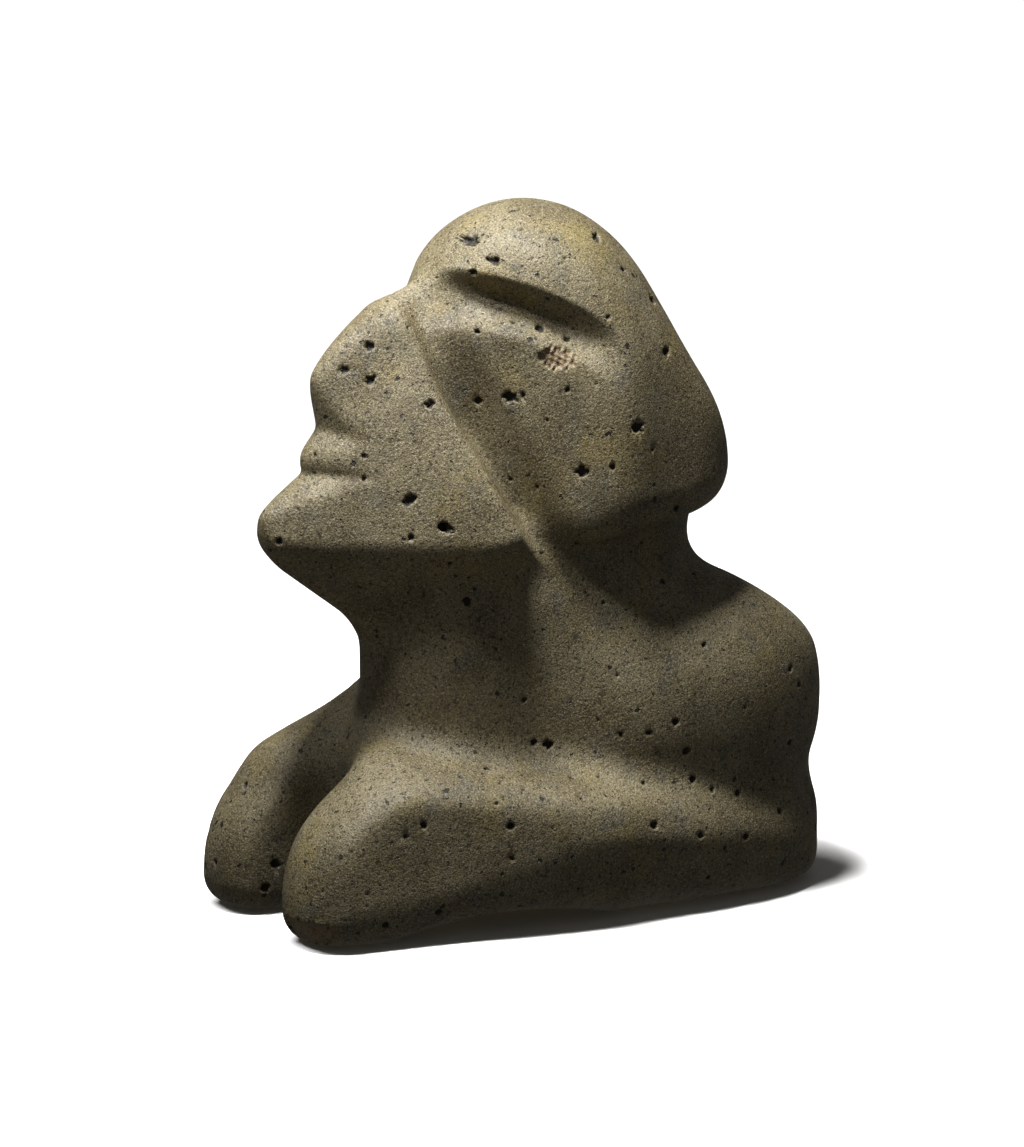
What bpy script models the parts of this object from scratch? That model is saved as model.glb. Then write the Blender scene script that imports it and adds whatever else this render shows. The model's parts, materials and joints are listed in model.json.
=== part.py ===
"""A seated stone figure about 20 cm tall, carved in the round from one block.

It faces -Y with its left side at +X and stands on Z = 0. The carving is worked out as a solid of
smooth cuts: rounded masses for the head, the hump and the seat, and the flat planes that the
carver cut into them. Every size below is a share of the height, which is 196 shares.
"""

import bpy
import numpy as np

HEIGHT = 0.200                      # metres, crown to floor
SHARES = 196.0                      # shares in the height
MIDDLE_Y = 2.6                      # middle of the figure's length, in shares
GRID = 1.7                          # spacing of the points the carving is worked out on, in shares
MARGIN = 6                          # of grid outside the stone, in shares
TRIANGLES = 9600                    # of the finished solid
STONE_COLOUR = (0.245, 0.225, 0.155, 1.0)
STONE_ROUGHNESS = 0.72

# Head: a tall dome in front, a fuller block behind it.
DOME_CENTRE = (0, 1.5, 134)
DOME_RADII = (44.5, 44.5, 62.5)
SKULL_CENTRE = (0, 3, 126)
SKULL_RADII = (44.8, 53.3, 46.5)
SKULL_POWER = 3.0
SKULL_BACK = ((0, 34.8, 164), (0, 0.84, 0.543))
SKULL_SIDE = ((46, 0, 135), (0.94, 0, 0.34))
SKULL_UNDER = ((0, -17.5, 101), (0, 0.14, -1))
CHEEK_RADII = (47.0, 41.0)
CHEEK_MIDDLE_Y = 12
CHEEK_LEAN = 0.16
CHEEK_FLAT = ((26.8, -20.7, 138), (0.88, -0.46, 0.08))
BROW_TOP = 177.0
BROW_TOP_Y = -34
BROW_CURVE = 0.0088
BROW_DEPTH = 4.0
HOLLOW_DEPTH = 4.2

# Face: a wedge of two flat sides that meet down the middle, standing out from the cheeks.
FACE_SIDE = ((39.6, -21, 107), (0.826, -0.516, 0.227))
FACE_BULGE = 2.6                    # how far each flat side is arched from chin to brow
FACE_BULGE_MIDDLE = 128
FACE_BULGE_HALF_HEIGHT = 30
FACE_REAR = ((42.5, -21, 107), (0.34, 0.80, 0.49))
FACE_UNDER = ((39.6, -21, 106.3), (0.69, -0.43, -0.59))
FACE_CORNER = ((42.5, -21, 105.5), (0.40, 0.35, -0.85))
FACE_TOP = ((0, -38, 173.6), (0, -0.5, 0.87))
FACE_TOP_REAR = ((0, -28, 175), (0, 0.835, 0.549))
CHIN_FRONT = ((0, -82.5, 108), (0, -0.95, -0.3))
UPPER_LIP = ((0, -62.8, 136.5), (0.60, -0.633, 0.487))
NOSE_UNDER = ((0, -62.4, 136.5), (0.558, -0.814, -0.16))
MOUTH = ((0, -67.8, 127), (0.66, -0.70, -0.18))
LOWER_LIP = ((0, -68.8, 123.5), (0.50, -0.52, 0.69))

# Body: neck, humped back, drawn-up legs and the seat under them.
NECK_MIDDLE_Y = 2.5
NECK_RADII = (29.5, 49.8)
NECK_TOP = 108
NECK_TAPER_FROM = 84
BACK_Y = 90.5                       # rearmost point of the hump and of the seat
HUMP_CENTRE = (0, 43, 54)
HUMP_RADII = (45, BACK_Y - HUMP_CENTRE[1], 40)
HUMP_TOP = ((0, 66, 86), (0, 0.57, 0.82))
SEAT_MIDDLE_Y = 18
SEAT_RADII = (50, BACK_Y - SEAT_MIDDLE_Y)
LEG_OUTSIDE = ((43, -45, 20), (0.985, -0.12, 0.08))
LEG_INSIDE = ((9.5, -60, 20), (-1, 0, 0))
FRONT_Y = -84.5                     # foremost point of the feet
FOOT_FRONT = ((0, FRONT_Y, 15), (0, -1, 0))
FOOT_TOP = ((24, -80, 31.5), (0, -0.72, 0.69))
LEG_END_Y = 5
THIGH_TOP = ((14, -60, 49), (0, -0.46, 0.88))
KNEE_TOP = ((27, -30, 47.5), (0.28, 0, 0.96))
GROIN_GROOVE = ((40, 16, 40), (0.35, 0.18, 0.92))
SEAT_UNDERCUT = ((48, 0, 8), (0.75, 0, -0.66))
FAR_LAP = ((-20, -34, 49), (-24, -59, 35), 12.5, 11.5)
ARCH_RISE = 5
ARCH_MIDDLE_Y = -26
ARCH_HALF_LENGTH = 34


def round_max(a, b, k):
    """What two solids share, with the edge between them rounded over k."""
    h = np.clip(0.5 + 0.5 * (a - b) / k, 0, 1)
    return b + (a - b) * h + k * h * (1 - h)


def round_min(a, b, k):
    """Two solids together, with the corner between them filled over k."""
    return -round_max(-a, -b, k)


def step(t):
    """A smooth rise from 0 at t = 0 to 1 at t = 1."""
    t = np.clip(t, 0, 1)
    return t * t * (3 - 2 * t)


def flat(p, cut):
    """Depth behind a flat cut, given as a point on it and the way it faces."""
    point, facing = np.array(cut[0], float), np.array(cut[1], float)
    return (p - point) @ (facing / np.linalg.norm(facing))


def ellipsoid(p, centre, radii):
    q, r = p - np.array(centre, float), np.array(radii, float)
    near = np.linalg.norm(q / r, axis=1)
    return near * (near - 1) / np.maximum(np.linalg.norm(q / (r * r), axis=1), 1e-6)


def block(p, centre, radii, power):
    """A rounded block: the higher the power, the squarer it is."""
    r = np.array(radii, float)
    u = np.maximum(np.abs(p - np.array(centre, float)) / r, 1e-4)
    total = (u ** power).sum(axis=1)
    near = total ** (1 / power)
    slope = (total ** (1 / power - 1))[:, None] * u ** (power - 1) / r
    return (near - 1) / np.maximum(np.linalg.norm(slope, axis=1), 1e-6) * np.clip(near, 0.6, 1)


def post(p, middle_y, radii, power):
    """An upright post of rounded plan that has no ends."""
    q = p.copy()
    q[:, 2] = 0
    return block(q, (0, middle_y, 0), (*radii, 1e4), power)


def rod(p, start, end, start_radius, end_radius):
    a, b = np.array(start, float), np.array(end, float)
    t = np.clip((p - a) @ (b - a) / ((b - a) @ (b - a)), 0, 1)
    return np.linalg.norm(p - a - t[:, None] * (b - a), axis=1) - (start_radius + (end_radius - start_radius) * t)


def both_sides(p, rounding=0.0):
    """Points folded onto the left side, so that a cut on it is made on the right side too."""
    q = p.copy()
    q[:, 0] = np.sqrt(p[:, 0] ** 2 + rounding ** 2) - rounding
    return q


def head(p):
    q = both_sides(p)
    skull = block(p, SKULL_CENTRE, SKULL_RADII, SKULL_POWER)
    skull = round_max(skull, flat(p, SKULL_BACK), 10)
    skull = round_max(skull, flat(q, SKULL_SIDE), 20)
    h = round_min(ellipsoid(p, DOME_CENTRE, DOME_RADII), skull, 6)
    h = round_max(h, flat(p, SKULL_UNDER), 13)
    leaning = p.copy()
    leaning[:, 1] += CHEEK_LEAN * (p[:, 2] - DOME_CENTRE[2])
    cheek = post(leaning, CHEEK_MIDDLE_Y, CHEEK_RADII, 2.0)
    cheek = round_max(cheek, flat(q, CHEEK_FLAT), 16)
    cheek = round_min(cheek, 18 - p[:, 1], 26)
    below = BROW_TOP - BROW_CURVE * (p[:, 1] - BROW_TOP_Y) ** 2 - p[:, 2]
    inner = np.where(p[:, 0] > 0, p[:, 0] - 3, -p[:, 0] - 9)
    under_edge = step(below / 7 + 0.5) * step(inner / 14) * step((12 - p[:, 1]) / 16)
    recess = BROW_DEPTH * under_edge * (1 - step((below - 4) / 30))
    hollow = HOLLOW_DEPTH * under_edge * (1 - step((below - 3) / 11))
    return round_max(h + recess, cheek, 7) + hollow


def face(p):
    q, ridge, nose = both_sides(p), both_sides(p, 3), both_sides(p, 4)
    lips = round_max(flat(nose, UPPER_LIP), flat(nose, MOUTH), 2)
    lips = round_min(lips, flat(nose, NOSE_UNDER), 1)
    lips = round_min(lips, flat(nose, LOWER_LIP), 1.2)
    arched = ((p[:, 2] - FACE_BULGE_MIDDLE) / FACE_BULGE_HALF_HEIGHT) ** 2
    flank = flat(ridge, FACE_SIDE) + FACE_BULGE * arched * step((q[:, 0] - 3) / 12)
    f = round_max(flank, lips, 1.5)
    f = round_max(f, flat(q, FACE_REAR) - 3.5 * (1 - step(q[:, 0] / 16)), 3)
    f = round_max(f, flat(ridge, FACE_UNDER), 2.5)
    f = round_max(f, flat(p, CHIN_FRONT), 6)
    f = round_max(f, flat(q, FACE_CORNER), 7)
    f = round_max(f, flat(p, FACE_TOP), 8)
    return round_max(f, flat(p, FACE_TOP_REAR), 8)


def neck(p):
    wider = 1 + 0.4 * np.clip((p[:, 2] - NECK_TAPER_FROM) / 34, 0, 1) ** 2
    q = p.copy()
    q[:, 0] = p[:, 0] * wider
    q[:, 1] = np.minimum(p[:, 1] - 2, 0) * wider + np.maximum(p[:, 1] - 2, 0) + 2
    return round_max(post(q, NECK_MIDDLE_Y, NECK_RADII, 2.2), p[:, 2] - NECK_TOP, 4)


def legs_and_seat(p):
    q = both_sides(p)
    leg = round_max(flat(q, LEG_OUTSIDE), flat(q, LEG_INSIDE), 10)
    leg = round_max(leg, flat(p, FOOT_FRONT), 14)
    leg = round_max(leg, flat(q, FOOT_TOP), 12)
    leg = round_max(leg, p[:, 1] - LEG_END_Y, 20)
    low = round_min(post(p, SEAT_MIDDLE_Y, SEAT_RADII, 2.5), leg, 14)
    low = round_max(low, flat(q, THIGH_TOP), 12)
    low = round_max(low, flat(q, KNEE_TOP), 7)
    low = round_max(low, flat(q, GROIN_GROOVE), 14)
    low = round_max(low, flat(q, SEAT_UNDERCUT), 10)
    return round_min(low, rod(p, *FAR_LAP), 8)


def figure(p):
    """Distance outside the stone, in shares, of each point."""
    hump = round_max(block(p, HUMP_CENTRE, HUMP_RADII, 2.4), flat(p, HUMP_TOP), 6)
    shoulder = 8 + 12 * step((45 - p[:, 1]) / 30)
    body = round_min(round_min(neck(p), hump, shoulder), legs_and_seat(p), 8)
    arch = ARCH_RISE * np.clip(1 - ((p[:, 1] - ARCH_MIDDLE_Y) / ARCH_HALF_LENGTH) ** 2, 0, 1)
    body = round_max(body, arch - p[:, 2], 9)
    beside = step((np.abs(p[:, 0]) - 6) / 10)
    blend = 9 + 5 * step((p[:, 2] - 150) / 20) + beside * (10 * step((p[:, 2] - 132) / 24) - 4)
    nape = 10 - 4 * step((20 - p[:, 1]) / 50) * step((p[:, 2] - 84) / 20)
    return round_min(round_min(head(p), face(p), blend), body, nape)


def field_on_grid(low, counts):
    axes = [low[i] + GRID * np.arange(counts[i]) for i in range(3)]
    points = np.stack(np.meshgrid(*axes, indexing="ij"), axis=-1).reshape(-1, 3)
    return figure(points).reshape(counts)


def net_over(field, low):
    """One point in each cell that the surface crosses, and a face over each crossed grid line."""
    stone = field < 0
    corners = [np.array((i, j, k)) for i in (0, 1) for j in (0, 1) for k in (0, 1)]
    n = np.array(field.shape) - 1
    filled = sum(stone[i:i + n[0], j:j + n[1], k:k + n[2]].astype(int) for i, j, k in corners)
    crossed = (filled > 0) & (filled < 8)
    number = np.full(crossed.shape, -1)
    number[crossed] = np.arange(crossed.sum())
    cells = np.argwhere(crossed)
    total, hits = np.zeros(cells.shape), np.zeros(len(cells))
    for axis in range(3):
        along = np.eye(3, dtype=int)[axis]
        for corner in corners:
            if corner[axis]:
                continue
            a = field[tuple((cells + corner).T)]
            b = field[tuple((cells + corner + along).T)]
            met = (a < 0) != (b < 0)
            share = np.where(met, a / np.where(met, a - b, 1), 0)
            total[met] += (corner + share[:, None] * along)[met]
            hits += met
    points = low + (cells + total / hits[:, None]) * GRID
    faces = []
    for axis in range(3):
        along, u, v = (np.eye(3, dtype=int)[(axis + i) % 3] for i in range(3))
        inner = tuple(slice(0, -1) if i == axis else slice(1, -1) for i in range(3))
        beyond = tuple(slice(1, None) if i == axis else slice(1, -1) for i in range(3))
        start, end = stone[inner], stone[beyond]
        for crossing, turn in ((start & ~end, 1), (end & ~start, -1)):
            at = np.argwhere(crossing) + 1 - along
            ring = [number[tuple((at - away).T)] for away in (0 * u, u, u + v, v)]
            faces.append(np.stack(ring[::turn], axis=1))
    return points, np.concatenate(faces)


def slope(p, width=0.05):
    ways = width * np.eye(3)
    return np.stack([figure(p + way) - figure(p - way) for way in ways], axis=1) / (2 * width)


def onto_surface(p, rounds=4):
    """Moves each point straight onto the carved surface."""
    for _ in range(rounds):
        steep = slope(p)
        size = np.maximum((steep ** 2).sum(axis=1), 0.2)
        move = -(figure(p) / size)[:, None] * steep
        length = np.linalg.norm(move, axis=1, keepdims=True)
        p = p + move * np.minimum(1, 0.4 * GRID / np.maximum(length, 1e-9))
    p[np.abs(p[:, 2]) < 0.05, 2] = 0
    return p


def stone_material():
    material = bpy.data.materials.new("carved fine-grained andesite")
    material.use_nodes = True
    shader = material.node_tree.nodes["Principled BSDF"]
    shader.inputs["Base Color"].default_value = STONE_COLOUR
    shader.inputs["Roughness"].default_value = STONE_ROUGHNESS
    shader.inputs["Metallic"].default_value = 0.0
    return material


def seated_figure():
    widest = max(SEAT_RADII[0], HUMP_RADII[0], SKULL_RADII[0])
    foremost = min(FRONT_Y, CHIN_FRONT[0][1])
    tallest = DOME_CENTRE[2] + DOME_RADII[2]
    low = np.array((-widest, foremost, 0)) - MARGIN
    high = np.array((widest, BACK_Y, tallest)) + MARGIN
    counts = tuple(int(size / GRID) + 1 for size in high - low)
    points, faces = net_over(field_on_grid(low, counts), low)
    points = onto_surface(points)
    points[:, 1] -= MIDDLE_Y
    mesh = bpy.data.meshes.new("seated_figure")
    mesh.from_pydata((points * HEIGHT / SHARES).tolist(), [], faces.tolist())
    mesh.shade_smooth()
    mesh.materials.append(stone_material())
    obj = bpy.data.objects.new("seated_figure", mesh)
    bpy.context.scene.collection.objects.link(obj)
    fewer = obj.modifiers.new("fewer triangles", "DECIMATE")
    fewer.ratio = TRIANGLES / (2 * len(faces))
    fewer.use_collapse_triangulate = True
    return obj


def clear_scene():
    for obj in list(bpy.data.objects):
        bpy.data.objects.remove(obj, do_unlink=True)


clear_scene()
seated_figure()
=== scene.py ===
"""A small seated stone figure on a pale studio floor.

The figure is one piece of olive-grey andesite, pecked to shape, ground smooth and finely pitted.
It faces -Y, its left side is at +X, and it stands on Z = 0. Sizes inside the carving are shares
of the figure's height, and the finished mesh is in metres.
"""

from __future__ import annotations

import json
import logging
import math
from dataclasses import dataclass, field, replace
from enum import Enum

import bpy
import numpy as np
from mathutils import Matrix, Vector

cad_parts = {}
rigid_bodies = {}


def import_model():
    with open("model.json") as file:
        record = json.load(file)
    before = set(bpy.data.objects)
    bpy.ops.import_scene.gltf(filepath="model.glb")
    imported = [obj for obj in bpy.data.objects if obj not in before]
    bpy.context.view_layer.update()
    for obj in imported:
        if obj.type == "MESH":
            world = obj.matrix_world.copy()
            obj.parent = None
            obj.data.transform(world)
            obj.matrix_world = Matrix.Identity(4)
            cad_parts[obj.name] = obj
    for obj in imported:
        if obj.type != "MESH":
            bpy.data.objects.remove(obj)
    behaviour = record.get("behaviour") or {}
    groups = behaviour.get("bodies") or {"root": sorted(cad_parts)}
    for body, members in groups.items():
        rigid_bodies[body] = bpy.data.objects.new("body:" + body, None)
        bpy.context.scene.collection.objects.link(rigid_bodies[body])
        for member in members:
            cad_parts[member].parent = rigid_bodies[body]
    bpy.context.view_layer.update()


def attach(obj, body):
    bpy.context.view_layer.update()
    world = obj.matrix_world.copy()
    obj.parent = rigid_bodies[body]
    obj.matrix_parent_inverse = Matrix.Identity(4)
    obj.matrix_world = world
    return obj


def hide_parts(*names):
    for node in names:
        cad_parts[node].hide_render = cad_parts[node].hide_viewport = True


LOG = logging.getLogger("seated_figure")

HEIGHT = 0.200            # metres, crown to floor
SHARES = 196.0            # shares in the height
SHARE = HEIGHT / SHARES   # metres in one share
MIDDLE_Y = 2.6            # middle of the figure's length, in shares
MM = 0.001

Triple = tuple[float, float, float]
Place = tuple[float, ...]   # shares, or two numbers: a pixel of the photograph
Points = np.ndarray
Depths = np.ndarray


class Mark(Enum):
    """What the mesh carries at each point for the finish to read."""

    FRESH = "fresh_break"
    GOUGED = "gouged"
    PIT = "pit_depth"


def linear(colour: str) -> tuple[float, float, float, float]:
    """Turns a hex sRGB colour into linear light.

    Args:
        colour: six hex digits after a hash sign.

    Returns:
        Red, green, blue and alpha.
    """
    parts = [int(colour[i:i + 2], 16) / 255 for i in (1, 3, 5)]
    light = [c / 12.92 if c <= 0.04045 else ((c + 0.055) / 1.055) ** 2.4 for c in parts]
    return (*light, 1.0)


def add_node(
    tree: bpy.types.NodeTree,
    kind: str,
    settings: dict[str, object] | None = None,
    links: dict[int | str, object] | None = None,
) -> bpy.types.Node:
    """Adds a node, sets its properties and fills its inputs.

    Args:
        tree: the tree that gets the node.
        kind: the node's type name.
        settings: the node's own properties by name.
        links: inputs by name or number, each a socket to link from or a value.

    Returns:
        The new node.
    """
    node = tree.nodes.new(kind)
    for name, value in (settings or {}).items():
        setattr(node, name, value)
    for name, value in (links or {}).items():
        if isinstance(value, bpy.types.NodeSocket):
            tree.links.new(value, node.inputs[name])
        else:
            node.inputs[name].default_value = value
    return node


def round_max(a: Depths, b: Depths, k: float | Depths) -> Depths:
    """What two solids share, with the edge between them rounded over k."""
    h = np.clip(0.5 + 0.5 * (a - b) / k, 0, 1)
    return b + (a - b) * h + k * h * (1 - h)


def round_min(a: Depths, b: Depths, k: float | Depths) -> Depths:
    """Two solids together, with the corner between them filled over k."""
    return -round_max(-a, -b, k)


def step(t: Depths) -> Depths:
    """A smooth rise from 0 at t = 0 to 1 at t = 1."""
    t = np.clip(t, 0, 1)
    return t * t * (3 - 2 * t)


def ellipsoid(p: Points, centre: Triple, radii: Triple) -> Depths:
    """Distance outside an ellipsoid.

    Args:
        p: points in shares.
        centre: its middle.
        radii: half its size each way.

    Returns:
        One distance for each point.
    """
    q, r = p - np.array(centre, p.dtype), np.array(radii, p.dtype)
    near = np.linalg.norm(q / r, axis=1)
    return near * (near - 1) / np.maximum(np.linalg.norm(q / (r * r), axis=1), 1e-6)


def block(p: Points, centre: Triple, radii: Triple, power: float) -> Depths:
    """Distance outside a rounded block.

    Args:
        p: points in shares.
        centre: its middle.
        radii: half its size each way.
        power: 2 is round, more is squarer.

    Returns:
        One distance for each point.
    """
    r = np.array(radii, p.dtype)
    u = np.clip(np.abs(p - np.array(centre, p.dtype)) / r, 1e-4, 1e4)
    total = (u ** power).sum(axis=1)
    near = total ** (1 / power)
    slope = (total ** (1 / power - 1))[:, None] * u ** (power - 1) / r
    return (near - 1) / np.maximum(np.linalg.norm(slope, axis=1), 1e-6) * np.clip(near, 0.6, 1)


def post(p: Points, middle_y: float, radii: tuple[float, float], power: float) -> Depths:
    """Distance outside an upright post of rounded plan that has no ends.

    Args:
        p: points in shares.
        middle_y: its middle, on the figure's middle plane.
        radii: half its size across and along.
        power: 2 is round, more is squarer.

    Returns:
        One distance for each point.
    """
    q = p.copy()
    q[:, 2] = 0
    return block(q, (0, middle_y, 0), (*radii, 1e4), power)


def rod(p: Points, start: Triple, end: Triple, radii: tuple[float, float]) -> Depths:
    """Distance outside a tapering rod with round ends.

    Args:
        p: points in shares.
        start: the middle of one end.
        end: the middle of the other.
        radii: its radius at each.

    Returns:
        One distance for each point.
    """
    a, b = np.array(start, p.dtype), np.array(end, p.dtype)
    t = np.clip((p - a) @ (b - a) / ((b - a) @ (b - a)), 0, 1)
    return np.linalg.norm(p - a - t[:, None] * (b - a), axis=1) - (radii[0] + (radii[1] - radii[0]) * t)


def both_sides(p: Points, rounding: float = 0.0) -> Points:
    """Points folded onto the left side, so that a cut on it is made on the right side too.

    Args:
        p: points in shares.
        rounding: how far the fold's crease is rounded.

    Returns:
        The folded points.
    """
    q = p.copy()
    q[:, 0] = np.sqrt(p[:, 0] ** 2 + rounding ** 2) - rounding
    return q


def way(azimuth: float, elevation: float) -> Vector:
    """The direction from the figure to a place, by its azimuth from the front and its height."""
    a, e = math.radians(azimuth), math.radians(elevation)
    return Vector((math.sin(a) * math.cos(e), -math.cos(a) * math.cos(e), math.sin(e)))


def in_metres(point: Triple) -> Vector:
    """A point of the carving, in shares, as a place on the finished piece."""
    return Vector((point[0], point[1] - MIDDLE_Y, point[2])) * SHARE


@dataclass(frozen=True)
class Cut:
    """One flat cut: a point on it and the way it faces."""

    point: Triple
    facing: Triple

    def depth(self, p: Points) -> Depths:
        """Distance in front of the cut.

        Args:
            p: points in shares.

        Returns:
            One distance for each point.
        """
        facing = np.array(self.facing, p.dtype)
        facing = facing / np.linalg.norm(facing)
        return (p - np.array(self.point, p.dtype)) @ facing


@dataclass
class Head:
    """The skull: a tall dome in front, a fuller block behind it, flat cheeks and cut brows."""

    dome_centre: Triple = (0, 1.5, 134)
    dome_radii: Triple = (44.5, 44.5, 62.5)
    skull_centre: Triple = (0, 3, 126)
    skull_radii: Triple = (44.8, 53.3, 46.5)
    back: Cut = Cut((0, 34.8, 164), (0, 0.84, 0.543))
    side: Cut = Cut((46, 0, 135), (0.94, 0, 0.34))
    under: Cut = Cut((0, -17.5, 101), (0, 0.14, -1))
    cheek_radii: tuple[float, float] = (47.0, 41.0)
    cheek_middle_y: float = 12
    cheek_lean: float = 0.16
    cheek: Cut = Cut((26.8, -20.7, 138), (0.88, -0.46, 0.08))
    brow_top: float = 177.0
    brow_top_y: float = -34
    brow_curve: float = 0.0088
    brow_depth: float = 4.0
    hollow_depth: float = 4.2

    def distance(self, p: Points) -> Depths:
        """Distance outside the head.

        Args:
            p: points in shares.

        Returns:
            One distance for each point.
        """
        q = both_sides(p)
        skull = block(p, self.skull_centre, self.skull_radii, 3.0)
        skull = round_max(skull, self.back.depth(p), 10)
        skull = round_max(skull, self.side.depth(q), 20)
        h = round_min(ellipsoid(p, self.dome_centre, self.dome_radii), skull, 6)
        h = round_max(h, self.under.depth(p), 13)
        leaning = p.copy()
        leaning[:, 1] += self.cheek_lean * (p[:, 2] - self.dome_centre[2])
        cheek = post(leaning, self.cheek_middle_y, self.cheek_radii, 2.0)
        cheek = round_max(cheek, self.cheek.depth(q), 16)
        cheek = round_min(cheek, 18 - p[:, 1], 26)
        below = self.brow_top - self.brow_curve * (p[:, 1] - self.brow_top_y) ** 2 - p[:, 2]
        inner = np.where(p[:, 0] > 0, p[:, 0] - 3, -p[:, 0] - 9)
        under_edge = step(below / 7 + 0.5) * step(inner / 14) * step((12 - p[:, 1]) / 16)
        recess = self.brow_depth * under_edge * (1 - step((below - 4) / 30))
        hollow = self.hollow_depth * under_edge * (1 - step((below - 3) / 11))
        return round_max(h + recess, cheek, 7) + hollow


@dataclass
class Face:
    """A wedge of two flat sides that meet down the middle and stand out from the cheeks."""

    side: Cut = Cut((39.6, -21, 107), (0.826, -0.516, 0.227))
    bulge: float = 2.6
    bulge_middle: float = 128
    bulge_half_height: float = 30
    rear: Cut = Cut((42.5, -21, 107), (0.34, 0.80, 0.49))
    under: Cut = Cut((39.6, -21, 106.3), (0.69, -0.43, -0.59))
    corner: Cut = Cut((42.5, -21, 105.5), (0.40, 0.35, -0.85))
    top: Cut = Cut((0, -38, 173.6), (0, -0.5, 0.87))
    top_rear: Cut = Cut((0, -28, 175), (0, 0.835, 0.549))
    chin: Cut = Cut((0, -82.5, 108), (0, -0.95, -0.3))
    upper_lip: Cut = Cut((0, -62.8, 136.5), (0.60, -0.633, 0.487))
    under_nose: Cut = Cut((0, -62.4, 136.5), (0.558, -0.814, -0.16))
    mouth: Cut = Cut((0, -67.8, 127), (0.66, -0.70, -0.18))
    lower_lip: Cut = Cut((0, -68.8, 123.5), (0.50, -0.52, 0.69))

    def distance(self, p: Points) -> Depths:
        """Distance outside the face.

        Args:
            p: points in shares.

        Returns:
            One distance for each point.
        """
        q, ridge, nose = both_sides(p), both_sides(p, 3), both_sides(p, 4)
        lips = round_max(self.upper_lip.depth(nose), self.mouth.depth(nose), 2)
        lips = round_min(lips, self.under_nose.depth(nose), 1)
        lips = round_min(lips, self.lower_lip.depth(nose), 1.2)
        arched = ((p[:, 2] - self.bulge_middle) / self.bulge_half_height) ** 2
        flank = self.side.depth(ridge) + self.bulge * arched * step((q[:, 0] - 3) / 12)
        f = round_max(flank, lips, 1.5)
        f = round_max(f, self.rear.depth(q) - 3.5 * (1 - step(q[:, 0] / 16)), 3)
        f = round_max(f, self.under.depth(ridge), 2.5)
        f = round_max(f, self.chin.depth(p), 6)
        f = round_max(f, self.corner.depth(q), 7)
        f = round_max(f, self.top.depth(p), 8)
        return round_max(f, self.top_rear.depth(p), 8)


@dataclass
class Body:
    """Neck, humped back, drawn-up legs and the seat under them."""

    neck_middle_y: float = 2.5
    neck_radii: tuple[float, float] = (29.5, 49.8)
    neck_top: float = 108
    neck_taper_from: float = 84
    hump_centre: Triple = (0, 43, 54)
    hump_radii: Triple = (45, 47.5, 40)
    hump_top: Cut = Cut((0, 66, 86), (0, 0.57, 0.82))
    seat_middle_y: float = 18
    seat_radii: tuple[float, float] = (50, 72.5)
    leg_outside: Cut = Cut((43, -45, 20), (0.985, -0.12, 0.08))
    leg_inside: Cut = Cut((9.5, -60, 20), (-1, 0, 0))
    foot_front: Cut = Cut((0, -84.5, 15), (0, -1, 0))
    foot_top: Cut = Cut((24, -80, 31.5), (0, -0.72, 0.69))
    leg_end_y: float = 5
    thigh_top: Cut = Cut((14, -60, 49), (0, -0.46, 0.88))
    knee_top: Cut = Cut((27, -30, 47.5), (0.28, 0, 0.96))
    groove: Cut = Cut((40, 16, 40), (0.35, 0.18, 0.92))
    undercut: Cut = Cut((48, 0, 8), (0.75, 0, -0.66))
    far_lap: tuple[Triple, Triple] = ((-20, -34, 49), (-24, -59, 35))
    far_lap_radii: tuple[float, float] = (12.5, 11.5)
    arch_rise: float = 5
    arch_middle_y: float = -26
    arch_half_length: float = 34

    def neck(self, p: Points) -> Depths:
        """Distance outside the neck, which narrows up into the head.

        Args:
            p: points in shares.

        Returns:
            One distance for each point.
        """
        wider = 1 + 0.4 * np.clip((p[:, 2] - self.neck_taper_from) / 34, 0, 1) ** 2
        q = p.copy()
        q[:, 0] = p[:, 0] * wider
        q[:, 1] = np.minimum(p[:, 1] - 2, 0) * wider + np.maximum(p[:, 1] - 2, 0) + 2
        return round_max(post(q, self.neck_middle_y, self.neck_radii, 2.2), p[:, 2] - self.neck_top, 4)

    def legs_and_seat(self, p: Points) -> Depths:
        """Distance outside the legs and the seat.

        Args:
            p: points in shares.

        Returns:
            One distance for each point.
        """
        q = both_sides(p)
        leg = round_max(self.leg_outside.depth(q), self.leg_inside.depth(q), 10)
        leg = round_max(leg, self.foot_front.depth(p), 14)
        leg = round_max(leg, self.foot_top.depth(q), 12)
        leg = round_max(leg, p[:, 1] - self.leg_end_y, 20)
        low = round_min(post(p, self.seat_middle_y, self.seat_radii, 2.5), leg, 14)
        low = round_max(low, self.thigh_top.depth(q), 12)
        low = round_max(low, self.knee_top.depth(q), 7)
        low = round_max(low, self.groove.depth(q), 14)
        low = round_max(low, self.undercut.depth(q), 10)
        return round_min(low, rod(p, *self.far_lap, self.far_lap_radii), 8)

    def distance(self, p: Points) -> Depths:
        """Distance outside the body, cut level below with a low arch between feet and seat.

        Args:
            p: points in shares.

        Returns:
            One distance for each point.
        """
        hump = round_max(block(p, self.hump_centre, self.hump_radii, 2.4), self.hump_top.depth(p), 6)
        shoulder = 8 + 12 * step((45 - p[:, 1]) / 30)
        body = round_min(round_min(self.neck(p), hump, shoulder), self.legs_and_seat(p), 8)
        along = (p[:, 1] - self.arch_middle_y) / self.arch_half_length
        return round_max(body, self.arch_rise * np.clip(1 - along ** 2, 0, 1) - p[:, 2], 9)


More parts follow.
